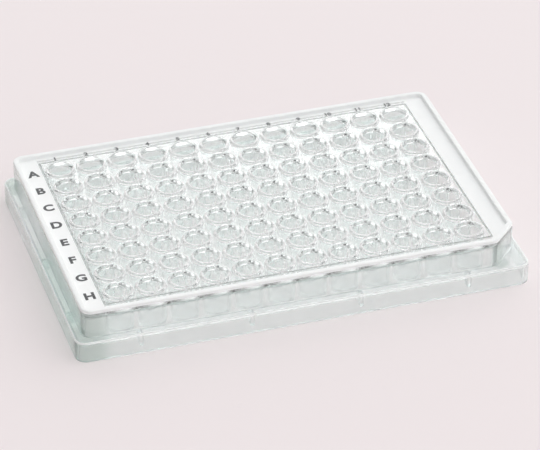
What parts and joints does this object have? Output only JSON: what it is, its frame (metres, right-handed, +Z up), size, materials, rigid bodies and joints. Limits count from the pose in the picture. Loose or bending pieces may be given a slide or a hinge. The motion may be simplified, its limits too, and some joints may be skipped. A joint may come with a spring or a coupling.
{
  "type": "well plate",
  "caption": "Clear microplate: a stepped skirt and raised rim round a flat deck with a grid of round flat-bottomed wells, open underneath.",
  "frame": {"origin": "centre of the rectangular footprint, on the surface that the plate rests on", "axes": "+X along the columns, from the first to the last; +Y from the last row to the first; +Z up, out of the wells' mouths"},
  "size_m": [0.1278, 0.0854, 0.0143],
  "materials": {
    "clear_polystyrene": "gloss",
    "index_print": "satin"
  },
  "bodies": {
    "root": {"well_plate": "clear_polystyrene"}
  },
  "joints": []
}
